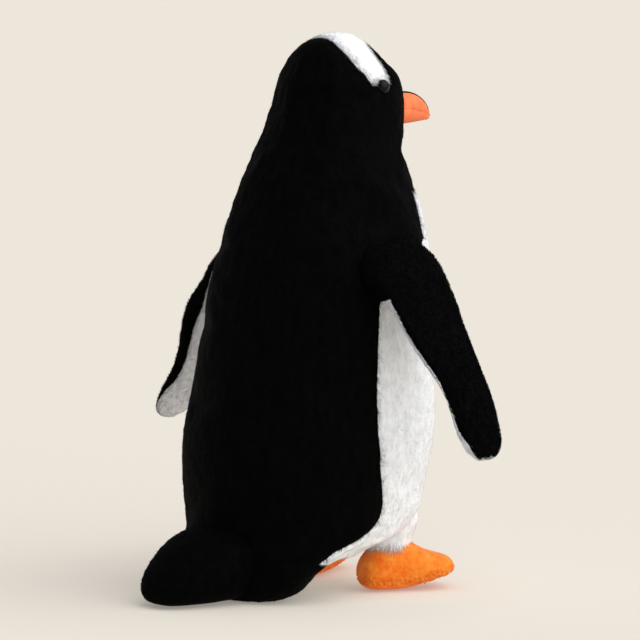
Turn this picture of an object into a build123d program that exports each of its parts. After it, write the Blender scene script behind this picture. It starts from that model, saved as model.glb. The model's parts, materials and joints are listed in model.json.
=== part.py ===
"""Plush penguin: sewn pile-fabric panels over stuffed cores, with turning head, flippers, tail and feet.

Millimetres, +Z up. The penguin faces -Y and its left side is +X. The origin is on the floor, under the
middle of the whole toy's box. "Forward" sizes are measured towards the beak from the body's base axis.
"""

import os
from math import sin, cos, radians

from build123d import *

# Fabric
pile_wall = 4.0  # backing and pile of the body panels
beak_wall = 1.6  # thin knit of the beak
foot_wall = 2.6  # curly pile of the feet
move_gap = 0.6  # clear space between pieces that move apart

# Torso
torso_height = 262.0  # floor to the neck seam
body_width = 151.0
shoulder_width = 124.0
neck_width = 89.0
back_reach = 69.0  # base axis to the back of the body
seat_width = 60.0  # flat patch that the body sits on
chest_top = 243.0  # height where the white chest meets the black throat
chest_forward = 53.0
armpit_height = 178.0
side_seam_forward = 4.0
hem_height = 58.0  # where the black back panel starts to round under
hem_back = 36.0  # how far behind the axis the white underside reaches
belly_hem = 24.0  # seam between belly and seat panels
pellet_radius = 30.0
pellet_height = 24.0
pellet_floor = 14.0
pellet_forward = -26.0

# Head
head_height = 74.0  # neck seam to crown
head_width = 75.0
face_forward = 72.0  # front of the face, where the beak starts
face_seam_forward = 44.0
neck_forward = 23.0
band_back = 13.0  # rear edge of the white crown band
band_width = 22.0
band_drop = 31.0  # how far the band comes down from the crown
band_lean = 16.0  # degrees, lower ends forward
eye_radius = 4.2
eye_forward = 37.0
eye_below_crown = 33.0
eye_toe_in = 12.0  # degrees that the eyes look forward of sideways
eye_tilt = 78.0  # degrees that the bead's axis lies down from upright
eye_back = 0.8  # flat back of the bead behind its middle
eye_post_radius = 1.5
eye_post_length = 9.0
washer_radius = 6.5
washer_thickness = 1.2

# Beak
beak_reach = 103.0  # base axis to the tip
beak_height = 20.0
beak_width = 17.0
beak_below_crown = 51.5  # middle of the beak's root
beak_root_sink = 8.0
mouth_root_rise = 1.0  # mouth line over the beak's middle at the face
mouth_tip_drop = 3.6  # mouth line under the beak's middle at the tip
ridge_depth = 1.4
ridge_width = 4.0

# Flippers
flipper_length = 146.0
flipper_chord = 48.0
flipper_thickness = 13.0
flipper_wall = 0.5 * pile_wall + 0.5
flipper_forward = 20.0  # middle of the root
flipper_spread = 37.0  # degrees out from straight down
shoulder_height = 204.0
shoulder_standoff = 4.5  # hinge line outside the shoulder's widest point
shoulder_clearance = 3.0

# Tail
tail_reach = 116.0  # base axis to the end of the tail
tail_root_width = 66.0
tail_tip_width = 34.0
tail_root_height = 36.0
tail_tip_height = 17.0
tail_lift = 0.5  # clear of the floor, so that the seat carries the load
tail_root_sink = 14.0  # how far the wedge runs under the seat before the seat is cut from it
tail_corner = 8.0

# Feet
foot_length = 61.0
foot_heel_width = 32.0
foot_toe_width = 42.0
foot_height = 22.0
foot_toe_height = 14.0
foot_sole = 2.5
foot_splay = 20.0  # degrees, toes out
foot_corner = 7.0
foot_top_start = 2.0  # where the top begins to fall, ahead of the ankle roll
heel_reach = 17.0  # heel behind the ankle
ankle_side = 35.0
ankle_forward = 36.0
ankle_height = 25.0
ankle_radius = 10.5
ankle_width = 26.0
heel_room = 5.0  # air over the heel, which rises as the toes droop

axis_y = (beak_reach - tail_reach) / 2  # puts the origin under the middle of the box
crown = torso_height + head_height
far = 400.0


def at(forward):
    """Y of a place that lies this far forward of the base axis."""
    return axis_y - forward


def oval_loft(sections):
    """Solid through level ovals, each given as height, half width, half depth and forward place."""
    return loft([Plane.XY.offset(z) * Pos(0, at(f)) * Ellipse(a, b) for z, a, b, f in sections])


def shrink(sections, wall, lift):
    """The same ovals inside a wall; those below the lift height also rise by the wall."""
    return [(z + (wall if z < lift else 0), a - wall, b - wall, f) for z, a, b, f in sections]


def side_prism(outline):
    """Prism across the toy from an outline of (forward, height) points."""
    points = [(at(f), z) for f, z in outline]
    return extrude(Plane.YZ * make_face(Polyline(*points, close=True)), far, both=True)


def above(height):
    """All space over a level plane."""
    return Pos(0, 0, height + far) * Box(2 * far, 2 * far, 2 * far)


def ahead_of(forward):
    """All space in front of an upright plane across the toy."""
    return Pos(0, at(forward) - far) * Box(2 * far, 2 * far, 2 * far)


def mirrored(solid):
    """The same piece on the toy's right side."""
    return mirror(solid, about=Plane.YZ)


def one_solid(shape):
    """The largest solid of a cut, without slivers."""
    return max(shape.solids(), key=lambda s: s.volume)


# Torso: ovals from the seat to the neck seam

def torso_sections():
    half = body_width / 2
    shoulder = shoulder_width / 2
    neck = neck_width / 2
    seat = seat_width / 2

    def taper(share):
        return neck + share * (shoulder - neck)

    rows = [
        (0.0, seat, 0.62 * seat, 0.62 * seat - back_reach + 2),
        (9.0, 0.62 * half, 0.45 * half, 0.45 * half - back_reach),
        (20.0, 0.76 * half, 0.64 * half, 0.64 * half - back_reach),
        (32.0, 0.87 * half, 0.83 * half, 0.83 * half - back_reach),
        (48.0, 0.94 * half, 0.93 * half, 0.93 * half - back_reach),
        (0.34 * torso_height, half, 0.99 * half, 0.99 * half - back_reach),
        (0.48 * torso_height, 0.96 * half, 0.95 * half, 0.46 * neck_forward),
        (0.63 * torso_height, 0.91 * half, 0.90 * half, 0.68 * neck_forward),
        (0.78 * torso_height, shoulder, 0.98 * shoulder, 0.83 * neck_forward),
        (0.89 * torso_height, taper(0.58), taper(0.56), 0.87 * neck_forward),
        (0.95 * torso_height, taper(0.22), taper(0.20), 0.92 * neck_forward),
        (torso_height, neck, 0.99 * neck, neck_forward),
    ]
    return rows


torso_form = oval_loft(torso_sections()) & above(0)
torso_core = oval_loft(shrink(torso_sections(), pile_wall, 30.0)) & above(pile_wall)

white_outline = [
    (side_seam_forward, armpit_height),
    (side_seam_forward, hem_height),
    (-hem_back, belly_hem - 6),
    (-hem_back - 4, -10),
    (far, -10),
    (far, chest_top),
    (chest_forward, chest_top),
    (chest_forward - 2, shoulder_height + 8),
]
white_region = side_prism(white_outline)
throat_region = above(chest_top) & ahead_of(chest_forward)
left_half = Pos(far, 0) * Box(2 * far, 2 * far, 4 * far)

# Flipper hinge line, and the recess that its root turns in
hinge_x = shoulder_width / 2 + shoulder_standoff
recess_radius = flipper_thickness / 2 + shoulder_clearance
recess_bar = Rot(90, 0, 0) * Cylinder(recess_radius, flipper_chord + 2 * shoulder_clearance)
recess_left = Pos(hinge_x, at(flipper_forward), shoulder_height) * recess_bar
recesses = recess_left + mirrored(recess_left)

torso_skin = torso_form - torso_core - recesses
black_skin = torso_skin - white_region - throat_region
white_skin = torso_skin & white_region

pieces = {}
pieces["back_panel_left"] = one_solid(black_skin & left_half)
pieces["back_panel_right"] = one_solid(black_skin - left_half)
pieces["belly_panel"] = one_solid(white_skin & above(belly_hem))
pieces["seat_panel"] = one_solid(white_skin - above(belly_hem))
pieces["throat_panel"] = one_solid(torso_skin & throat_region)

pellet_bag = fillet(Cylinder(pellet_radius, pellet_height).edges(), pellet_height / 3)
pellet_bag = Pos(0, at(pellet_forward), pellet_floor + pellet_height / 2) * pellet_bag
pellet_bag = one_solid(pellet_bag & torso_core)
pieces["pellet_bag"] = pellet_bag
pieces["body_stuffing"] = one_solid(torso_core - recesses - pellet_bag)


# Head: ovals from the neck seam to the crown

def head_sections():
    half = head_width / 2
    neck = neck_width / 2
    depth = face_forward - neck_forward
    base = torso_height + move_gap
    rows = [
        (base, 0.97 * neck, 0.985 * neck, neck_forward),
        (torso_height + 0.14 * head_height, 0.93 * neck, 0.97 * neck, neck_forward + 2),
        (torso_height + 0.31 * head_height, 1.04 * half, 0.90 * depth, face_forward - 0.90 * depth),
        (torso_height + 0.47 * head_height, 0.98 * half, 0.86 * depth, face_forward - 0.86 * depth),
        (torso_height + 0.62 * head_height, 0.91 * half, 0.78 * depth, neck_forward + 7.5),
        (torso_height + 0.76 * head_height, 0.74 * half, 0.64 * depth, neck_forward + 7),
        (torso_height + 0.88 * head_height, 0.55 * half, 0.47 * depth, neck_forward + 7),
        (torso_height + 0.96 * head_height, 0.32 * half, 0.27 * depth, neck_forward + 7),
        (crown, 1.2, 1.4, neck_forward + 7),
    ]
    return rows


def head_core_sections():
    rows = [r for r in head_sections() if r[0] < crown - 2]
    inner = [(z, a - pile_wall, b - pile_wall, f) for z, a, b, f in rows]
    z, a, b, f = inner[-1]
    return inner[:-1] + [(crown - pile_wall - 1, a / 2, b / 2, f)]


head_form = oval_loft(head_sections())
head_core = oval_loft(head_core_sections())

# Beak: upright ovals from inside the face to a blunt, hooked tip
beak_middle = crown - beak_below_crown


def beak_oval(forward, half_width, top, bottom):
    plane = Plane(origin=(0, at(forward), (top + bottom) / 2), x_dir=(1, 0, 0), z_dir=(0, -1, 0))
    return plane * Ellipse((top - bottom) / 2, half_width, rotation=90)


def beak_form(wall):
    """Beak solid, or its filling when a wall is taken off."""
    reach = beak_reach - face_forward
    high = beak_height / 2
    wide = beak_width / 2
    rows = [
        (face_forward - beak_root_sink, wide, high, -high),
        (face_forward + 0.31 * reach, 0.86 * wide, 0.92 * high, -0.95 * high),
        (face_forward + 0.68 * reach, 0.58 * wide, 0.64 * high, -0.95 * high),
        (face_forward + 0.90 * reach, 0.38 * wide, 0.10 * high, -0.98 * high),
        (beak_reach - wall, 0.18 * wide, -0.45 * high, -0.86 * high),
    ]
    if wall:
        rows = [(f, w - wall, beak_middle + t - wall, beak_middle + b + wall) for f, w, t, b in rows[:-1]]
    else:
        rows = [(f, w, beak_middle + t, beak_middle + b) for f, w, t, b in rows]
    return loft([beak_oval(*row) for row in rows])


mouth_root = (face_forward - beak_root_sink - 2, beak_middle + mouth_root_rise)
mouth_end = (beak_reach + 2, beak_middle - mouth_tip_drop)
mouth_floor = beak_middle - 2 * beak_height
mouth_below = [(mouth_end[0], mouth_floor), (mouth_root[0], mouth_floor)]
below_mouth = side_prism([mouth_root, mouth_end] + mouth_below)
beak_solid = beak_form(0) - head_form
beak_core = beak_form(beak_wall) - head_form
ridge_bar = Pos(0, 0, ridge_depth) * beak_form(0) - beak_form(0)
ridge_region = Box(ridge_width, 2 * far, 2 * far)
ridge_region = ridge_region & above(beak_middle) & ahead_of(face_forward + 2)
beak_skin = beak_solid - beak_core
pieces["beak_upper"] = one_solid(beak_skin - below_mouth)
pieces["beak_lower"] = one_solid(beak_skin & below_mouth)
pieces["beak_stuffing"] = one_solid(beak_core)
pieces["beak_ridge"] = one_solid((ridge_bar & ridge_region) - head_form)

# Eyes: a polished bead on a ribbed post, held by a lock washer inside the fabric
eye_side = 0.91 * head_width / 2
bead = Sphere(eye_radius) & above(-eye_back)
post = Pos(0, 0, -eye_back - eye_post_length / 2) * Cylinder(eye_post_radius, eye_post_length)
washer_disc = Pos(0, 0, -pile_wall - washer_thickness) * Cylinder(washer_radius, washer_thickness)
eye_place = Pos(eye_side, at(eye_forward), crown - eye_below_crown)
eye_place = eye_place * Rot(0, 0, -eye_toe_in) * Rot(0, eye_tilt, 0)
eye_left = eye_place * (bead + post)
washer_left = eye_place * (washer_disc - Cylinder(eye_post_radius, far))
pieces["eye_left"] = eye_left
pieces["eye_right"] = mirrored(eye_left)
pieces["eye_washer_left"] = washer_left
pieces["eye_washer_right"] = mirrored(washer_left)
eye_parts = eye_left + mirrored(eye_left) + washer_left + mirrored(washer_left)

# Head panels: crown band over the top from eye to eye, sides behind it, face in front
head_skin = head_form - head_core - eye_parts
band_slope = band_drop * sin(radians(band_lean)) / cos(radians(band_lean))
band_bottom = crown - band_drop
band_outline = [
    (band_back, crown + 5),
    (band_back + band_slope, band_bottom),
    (band_back + band_width + 0.3 * band_slope, band_bottom),
    (band_back + band_width, crown + 5),
]
band_region = side_prism(band_outline)
face_region = side_prism([
    (face_seam_forward, torso_height),
    (face_seam_forward, band_bottom),
    (band_back + band_width + 0.3 * band_slope, band_bottom),
    (band_back + band_width, crown + 5),
    (far, crown + 5),
    (far, torso_height),
])
side_skin = head_skin - band_region - face_region
pieces["crown_band"] = one_solid(head_skin & band_region)
pieces["face_panel"] = one_solid(head_skin & face_region)
pieces["head_panel_left"] = one_solid(side_skin & left_half)
pieces["head_panel_right"] = one_solid(side_skin - left_half)
pieces["head_stuffing"] = one_solid(head_core - eye_parts)


# Flippers: hang from the hinge line, chord fore and aft, thickness sideways

def flipper_form(wall):
    """Flipper solid pointing straight down from its hinge line, or its filling inside a wall."""
    chord = flipper_chord / 2
    thick = flipper_thickness / 2
    rows = [
        (0.0, chord, 0.90 * thick, 0.0),
        (0.27, 0.92 * chord, thick, 1.0),
        (0.50, 0.74 * chord, thick, 4.5),
        (0.70, 0.60 * chord, 0.95 * thick, 6.5),
        (0.86, 0.53 * chord, 0.85 * thick, 6.5),
        (0.96, 0.37 * chord, 0.62 * thick, 5.5),
        (1.0, 0.14 * chord, 0.30 * thick, 5.0),
    ]
    if wall:
        rows = [(s, b - wall, a - wall, f) for s, b, a, f in rows if a > wall and b > 2 * wall]
    return loft([Plane.XY.offset(-s * flipper_length) * Pos(0, -f) * Ellipse(a, b) for s, b, a, f in rows])


flipper_skin = flipper_form(0) - flipper_form(flipper_wall)
hang = Pos(hinge_x, at(flipper_forward), shoulder_height) * Rot(0, -flipper_spread, 0)
flipper_parts = {
    "outer": one_solid(flipper_skin & left_half),
    "inner": one_solid(flipper_skin - left_half),
    "stuffing": one_solid(flipper_form(flipper_wall)),
}
for part_name, solid in flipper_parts.items():
    placed = hang * solid
    pieces["flipper_left_" + part_name] = placed
    pieces["flipper_right_" + part_name] = mirrored(placed)


# Tail: a blunt wedge lying behind the seat, hinged along its upper root edge

def tail_form(wall):
    root = -back_reach + tail_root_sink
    half_root = tail_root_width / 2 - wall
    half_tip = tail_tip_width / 2 - wall
    end = wall - tail_reach
    outline = [(-half_root, at(root)), (half_root, at(root)), (half_tip, at(end)), (-half_tip, at(end))]
    plan = make_face(Polyline(*outline, close=True))
    block = Pos(0, 0, tail_lift + wall) * extrude(plan, 2 * tail_root_height)
    rise = (tail_root_height - tail_tip_height) / (tail_reach - back_reach)
    side = side_prism([
        (root, -5),
        (root, tail_root_height + tail_root_sink * rise - wall),
        (-back_reach, tail_root_height - wall),
        (-tail_reach, tail_tip_height - wall),
        (-tail_reach, -5),
    ])
    block = block & side
    if not wall:
        upright = block.edges().filter_by(Axis.Z).group_by(Axis.Y)[-1]
        block = fillet(upright, tail_corner)
    return block


def torso_grown(gap):
    """Space that the torso takes with a gap round it."""
    return oval_loft([(z, a + gap, b + gap, f) for z, a, b, f in torso_sections()])


tail_solid = tail_form(0) - torso_grown(move_gap)
tail_core = tail_form(pile_wall) - torso_grown(2 * move_gap)
tail_skin = one_solid(tail_solid - tail_core)
tail_seam = tail_lift + pile_wall
pieces["tail_upper"] = one_solid(tail_skin & above(tail_seam))
pieces["tail_underside"] = one_solid(tail_skin - above(tail_seam))
pieces["tail_stuffing"] = one_solid(tail_core)


# Feet: built toes forward about the ankle, then turned out and placed

def foot_outline(wall):
    heel = foot_heel_width / 2 - wall
    toe = foot_toe_width / 2 - wall
    back = heel_reach - wall
    front = heel_reach - foot_length + wall
    ball = front + 0.3 * foot_length
    points = [(-heel, back), (heel, back), (toe, ball), (toe - 2, front), (2 - toe, front), (-toe, ball)]
    return fillet(make_face(Polyline(*points, close=True)).vertices(), foot_corner)


def foot_form(wall):
    """Foot above its sole, or its filling inside a wall."""
    block = extrude(foot_outline(wall), foot_height - foot_sole - wall)
    block = Pos(0, 0, foot_sole) * block
    slope_start = -ankle_radius - foot_top_start
    toe_y = heel_reach - foot_length
    wedge = [
        (slope_start, foot_height - wall),
        (toe_y - 2, foot_toe_height - wall),
        (toe_y - 2, foot_height + 5),
        (slope_start, foot_height + 5),
    ]
    return block - extrude(Plane.YZ * make_face(Polyline(*wedge, close=True)), far, both=True)


ankle_roll = Pos(0, 0, ankle_height) * Rot(0, 90, 0) * Cylinder(ankle_radius, ankle_width)
ankle_room = Rot(0, 90, 0) * Cylinder(ankle_radius + move_gap, ankle_width + 2 * move_gap)
ankle_room = Pos(0, 0, ankle_height) * ankle_room
ankle_core_room = Rot(0, 90, 0) * Cylinder(ankle_radius + move_gap + 1, ankle_width + 2 * move_gap + 2)
ankle_core_room = Pos(0, 0, ankle_height) * ankle_core_room
foot_place = Pos(ankle_side, at(ankle_forward)) * Rot(0, 0, foot_splay)
foot_solid = foot_place * (foot_form(0) - ankle_room) - Pos(0, 0, -heel_room) * torso_grown(move_gap)
foot_core = foot_place * (foot_form(foot_wall) - ankle_core_room)
foot_core = foot_core - Pos(0, 0, -heel_room - foot_wall) * torso_grown(move_gap)
foot_parts = {
    "upper": one_solid(foot_solid - foot_core),
    "sole": foot_place * extrude(foot_outline(0.8), foot_sole),
    "stuffing": one_solid(foot_core),
}
for part_name, placed in foot_parts.items():
    pieces["foot_left_" + part_name] = placed
    pieces["foot_right_" + part_name] = mirrored(placed)

# Ankle cuffs: short white legs from the seat down into the feet
leg_plan = fillet(Rectangle(ankle_width, 2 * ankle_radius).vertices(), ankle_radius / 2)
leg_stub = Pos(0, 0, ankle_height) * extrude(leg_plan, ankle_height)
cuff_left = one_solid(foot_place * (ankle_roll + leg_stub) - torso_form)
pieces["ankle_cuff_left"] = cuff_left
pieces["ankle_cuff_right"] = mirrored(cuff_left)

os.makedirs("parts", exist_ok=True)
for name, solid in pieces.items():
    export_step(solid, "parts/" + name + ".step")
print(len(pieces), "pieces, crown at", crown)
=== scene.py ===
# %% [markdown]
# # A plush penguin
# The toy is sewn from pile fabric and stuffed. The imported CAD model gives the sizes, the joints and the
# bodies that move. This lesson builds what the eye sees: stuffed skins, cut along their seams into panels,
# a pile of fine tufts on each, glossy bead eyes and a small soft-napped beak.

# %% Load the frame
import json
import math

import bmesh
import bpy
import numpy as np
from mathutils import Matrix, Vector, noise
from mathutils.kdtree import KDTree


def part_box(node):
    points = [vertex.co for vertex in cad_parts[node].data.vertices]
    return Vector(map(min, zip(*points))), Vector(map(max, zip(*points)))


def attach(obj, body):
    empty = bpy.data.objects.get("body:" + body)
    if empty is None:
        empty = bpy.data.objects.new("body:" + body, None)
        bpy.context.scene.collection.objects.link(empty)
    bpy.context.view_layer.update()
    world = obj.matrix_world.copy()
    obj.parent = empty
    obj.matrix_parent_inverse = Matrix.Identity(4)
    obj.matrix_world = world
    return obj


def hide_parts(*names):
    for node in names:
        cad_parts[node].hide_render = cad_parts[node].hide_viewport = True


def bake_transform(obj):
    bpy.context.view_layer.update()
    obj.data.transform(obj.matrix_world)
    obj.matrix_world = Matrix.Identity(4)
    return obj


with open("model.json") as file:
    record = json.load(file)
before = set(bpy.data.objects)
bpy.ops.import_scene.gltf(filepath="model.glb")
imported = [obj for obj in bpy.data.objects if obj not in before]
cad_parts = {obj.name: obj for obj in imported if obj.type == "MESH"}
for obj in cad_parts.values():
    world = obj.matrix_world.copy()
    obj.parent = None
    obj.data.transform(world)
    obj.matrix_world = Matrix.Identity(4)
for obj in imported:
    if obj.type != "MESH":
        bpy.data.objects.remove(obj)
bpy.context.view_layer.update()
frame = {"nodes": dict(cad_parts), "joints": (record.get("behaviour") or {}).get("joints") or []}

MM = 0.001
joints = {j["name"]: j for j in frame["joints"]}

# %% [markdown]
# ## Places from the frame
# The penguin faces -Y. The base axis is an upright line that the stuffed body is drawn about, and places in
# front of it are called forward. The crown height and the body's half width come from the CAD boxes, and
# the outline further down is given in shares of those two sizes.

# %% Places from the frame
NECK_FORWARD = 23 * MM
base_y = joints["neck_turn"]["pos_m"][1] + NECK_FORWARD
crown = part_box("crown_band")[1].z
half_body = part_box("belly_panel")[1].x
print(f"crown {crown:.3f} m, half width {half_body:.4f} m, base axis at y {base_y:.4f} m")

# %% [markdown]
# ## Camera
# A long lens a good way off keeps the toy's proportions as the eye sees them across a table. The camera
# stands behind the penguin, well round to its right side, a little above the middle of the toy.

# %% Camera
VIEW_AZIMUTH = math.radians(230)
VIEW_ELEVATION = math.radians(8)
VIEW_DISTANCE = 6.0
VIEW_WIDTH = 0.384  # metres that the picture spans at the toy
sa, ca = math.sin(VIEW_AZIMUTH), math.cos(VIEW_AZIMUTH)
se, ce = math.sin(VIEW_ELEVATION), math.cos(VIEW_ELEVATION)
to_camera = Vector((sa * ce, -ca * ce, se))
to_right = Vector((ca, sa, 0))
to_top = to_camera.cross(to_right)
aim = Vector((0, base_y, 0)) + to_right * 0.012 + to_top * 0.161
camera_data = bpy.data.cameras.new("camera")
camera_data.lens = camera_data.sensor_width * VIEW_DISTANCE / VIEW_WIDTH
camera = bpy.data.objects.new("camera", camera_data)
camera.matrix_world = Matrix.Translation(aim + to_camera * VIEW_DISTANCE) @ Matrix(
    (to_right, to_top, to_camera)
).transposed().to_4x4()
bpy.context.scene.collection.objects.link(camera)
bpy.context.scene.camera = camera
print(f"lens {camera_data.lens:.0f} mm")

# %% [markdown]
# ## Helpers for materials
# Fabric colours are written as sRGB hex values, because that is how a colour is picked, and one function
# turns them to the linear values that shaders need. A second small function adds any node with its
# settings and links, so a material reads as a list of nodes.


# %% Colour and node helpers
def linear(hex_colour):
    """Linear RGBA from an sRGB hex value."""
    parts = [int(hex_colour[i : i + 2], 16) / 255 for i in (1, 3, 5)]
    return [c / 12.92 if c <= 0.04045 else ((c + 0.055) / 1.055) ** 2.4 for c in parts] + [1.0]


def add_node(tree, kind, settings=None, links=None):
    """A new shader node: settings go to its properties or inputs, links map inputs to output sockets."""
    node = tree.nodes.new(kind)
    for key, value in (settings or {}).items():
        if isinstance(key, str) and hasattr(node, key):
            setattr(node, key, value)
        else:
            node.inputs[key].default_value = value
    for key, socket in (links or {}).items():
        tree.links.new(socket, node.inputs[key])
    return node


# %% [markdown]
# ## Pile fabric
# Plush is a knitted backing with cut yarn standing on it. Light goes in between the tufts, so it looks soft
# and nearly matt, with a faint sheen where the nap lies over. The tufts gather in clumps a few millimetres
# wide that are a little lighter or darker. The material has two noises: one as wide as the clumps for
# colour, and one as wide as a yarn for the bump and the roughness.


# %% Pile fabric material
NAP_STRETCH = 0.45  # clumps and yarns are longer down the nap than across it


def pile_fabric(
    name, dark, light, clump_mm, yarn_mm, sheen, roughness, bump_mm, gloss=0.15, stretch=NAP_STRETCH
):
    mat = bpy.data.materials.new(name)
    mat.use_nodes = True
    tree = mat.node_tree
    surface = tree.nodes["Principled BSDF"]
    place = add_node(tree, "ShaderNodeTexCoord").outputs["Object"]
    combed = add_node(tree, "ShaderNodeMapping", {"Scale": (1.0, 1.0, stretch)}, {"Vector": place})
    clump_set = {"Scale": 1 / (clump_mm * MM), "Detail": 3.0, "Roughness": 0.6}
    clumps = add_node(tree, "ShaderNodeTexNoise", clump_set, {"Vector": combed.outputs["Vector"]})
    yarn_set = {"Scale": 1 / (yarn_mm * MM), "Detail": 2.0}
    yarns = add_node(tree, "ShaderNodeTexNoise", yarn_set, {"Vector": combed.outputs["Vector"]})
    ramp = add_node(tree, "ShaderNodeValToRGB", {}, {"Fac": clumps.outputs["Fac"]})
    ramp.color_ramp.elements[0].position = 0.32
    ramp.color_ramp.elements[0].color = linear(dark)
    ramp.color_ramp.elements[1].position = 0.68
    ramp.color_ramp.elements[1].color = linear(light)
    rough_set = {"To Min": roughness - 0.08, "To Max": min(1.0, roughness + 0.08)}
    rough = add_node(tree, "ShaderNodeMapRange", rough_set, {"Value": yarns.outputs["Fac"]})
    bump_set = {"Strength": 0.6, "Distance": bump_mm * MM}
    bump = add_node(tree, "ShaderNodeBump", bump_set, {"Height": yarns.outputs["Fac"]})
    tree.links.new(ramp.outputs["Color"], surface.inputs["Base Color"])
    tree.links.new(rough.outputs["Result"], surface.inputs["Roughness"])
    tree.links.new(bump.outputs["Normal"], surface.inputs["Normal"])
    surface.inputs["Sheen Weight"].default_value = sheen
    surface.inputs["Sheen Roughness"].default_value = 0.5
    surface.inputs["Specular IOR Level"].default_value = gloss
    return mat


black_pile = pile_fabric("black_polyester_pile", "#010101", "#040404", 5, 0.9, 0.0, 0.8, 0.5, 0.03)
white_pile = pile_fabric("white_polyester_pile", "#E2E3E5", "#F8F9FA", 3, 0.9, 0.1, 0.88, 0.3)
# A lighter copy of the same white pile, used on the crown band and the ankle fringe: painted light that
# makes them brighter than the belly's white.
painted_light_white_pile = pile_fabric("white_pile_with_painted_light", "#F1F2F3", "#FFFFFF", 3, 0.9, 0.1, 0.88, 0.3)
foot_pile = pile_fabric("orange_curly_pile", "#F26C14", "#FF9834", 6, 0.7, 0.1, 0.85, 0.4, 0.15, 1.0)
beak_knit = pile_fabric("orange_brushed_knit", "#F57545", "#FC8B5B", 3, 0.5, 0.05, 0.75, 0.2)
ridge_felt = pile_fabric("dark_brown_felt", "#0C0605", "#1E100C", 1.5, 0.5, 0.05, 0.85, 0.2)


# %% [markdown]
# ## Bead eyes
# Safety eyes are moulded in black acrylic and polished, so they are a mirror-smooth dark dielectric with
# small sharp highlights. A faint noise in the roughness stands for handling marks.


# %% Polished acrylic and natural nylon
def moulded_plastic(name, colour, roughness, mark_mm, gloss):
    mat = bpy.data.materials.new(name)
    mat.use_nodes = True
    tree = mat.node_tree
    surface = tree.nodes["Principled BSDF"]
    place = add_node(tree, "ShaderNodeTexCoord").outputs["Object"]
    marks = add_node(tree, "ShaderNodeTexNoise", {"Scale": 1 / (mark_mm * MM)}, {"Vector": place})
    rough_set = {"To Min": roughness, "To Max": roughness + 0.06}
    rough = add_node(tree, "ShaderNodeMapRange", rough_set, {"Value": marks.outputs["Fac"]})
    tree.links.new(rough.outputs["Result"], surface.inputs["Roughness"])
    surface.inputs["Base Color"].default_value = linear(colour)
    surface.inputs["IOR"].default_value = 1.49
    surface.inputs["Specular IOR Level"].default_value = gloss
    return mat


eye_acrylic = moulded_plastic("polished_black_acrylic", "#020202", 0.06, 2, 0.16)
washer_nylon = moulded_plastic("natural_nylon", "#D9D6CC", 0.45, 1, 0.5)

# %% [markdown]
# ## Mesh tools
# Everything soft starts as rings of points about a line. The rings between the given stations follow a
# smooth curve through them, as fabric does over stuffing. The rings are joined into a closed grid of quads.


# %% Smooth rows and ring grids
skin_facts = {}  # by piece name: normals of the uncut form, and how many faces aren't folds


def smooth_rows(stations, spacing):
    """Rows on a smooth curve through the stations, evenly spaced along it."""
    pts = np.array(stations, float)
    steps = np.linalg.norm(np.diff(pts, axis=0), axis=1)
    t = np.concatenate([[0], np.cumsum(steps)])
    slope = np.gradient(pts, t, axis=0)
    wanted = np.linspace(0, t[-1], max(4, int(t[-1] / spacing)))
    i = np.clip(np.searchsorted(t, wanted, side="right") - 1, 0, len(t) - 2)
    h = (t[i + 1] - t[i])[:, None]
    u = ((wanted - t[i]) / (t[i + 1] - t[i]))[:, None]
    a = (2 * u**3 - 3 * u**2 + 1) * pts[i] + (u**3 - 2 * u**2 + u) * h * slope[i]
    b = (-2 * u**3 + 3 * u**2) * pts[i + 1] + (u**3 - u**2) * h * slope[i + 1]
    return a + b


def ring_grid(rings):
    """Vertices and faces of a closed form from rings of points, capped at both ends."""
    rings = np.asarray(rings, float)
    count, around = rings.shape[:2]
    verts = np.concatenate([rings.reshape(-1, 3), rings[0].mean(0)[None], rings[-1].mean(0)[None]])
    j = np.arange(around)
    k = (j + 1) % around
    faces = []
    for i in range(count - 1):
        low, high = i * around, (i + 1) * around
        faces += np.stack([low + j, low + k, high + k, high + j], 1).tolist()
    first, last = count * around, count * around + 1
    top = (count - 1) * around
    faces += np.stack([j * 0 + first, k, j], 1).tolist()
    faces += np.stack([j * 0 + last, top + j, top + k], 1).tolist()
    return verts, faces


def new_piece(name, verts, faces, material, outward=None, shown=None):
    """A piece from arrays; outward and shown are kept for the relief and the pile."""
    mesh = bpy.data.meshes.new(name)
    mesh.from_pydata([tuple(v) for v in np.asarray(verts)], [], faces)
    mesh.materials.append(material)
    mesh.polygons.foreach_set("use_smooth", np.ones(len(mesh.polygons), bool))
    piece = bpy.data.objects.new(name, mesh)
    bpy.context.scene.collection.objects.link(piece)
    skin_facts[name] = (outward, shown or len(faces))
    return piece


def coords(piece):
    co = np.empty(len(piece.data.vertices) * 3)
    piece.data.vertices.foreach_get("co", co)
    return co.reshape(-1, 3)


def normals(piece):
    if skin_facts[piece.name][0] is not None:
        return skin_facts[piece.name][0]
    no = np.empty(len(piece.data.vertices) * 3, np.float32)
    piece.data.vertex_normals.foreach_get("vector", no)
    return no.reshape(-1, 3).astype(float)


def move_to(piece, co):
    piece.data.vertices.foreach_set("co", np.ascontiguousarray(co, float).ravel())
    piece.data.update()


def carried(panel, place, flip=False):
    """A panel moved by place(coordinates), with its normals taken along; flip for a mirrored one."""
    verts, faces, outward, shown = panel
    moved = place(verts)
    turned = place(verts + outward * 0.1 * MM) - moved
    turned /= np.linalg.norm(turned, axis=1)[:, None]
    if flip:
        faces = [list(reversed(f)) for f in faces]
    return moved, faces, turned, shown


# %% [markdown]
# ## Seams
# A panel ends where it was cut, not where a grid happens to have an edge. So a seam is a function that is
# zero along the line, and every edge that crosses zero gets a vertex there. Then the faces fall cleanly on
# one side or the other, and each side becomes a panel of its own. A panel's raw edge is turned inwards, as
# a seam allowance is.


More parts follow.
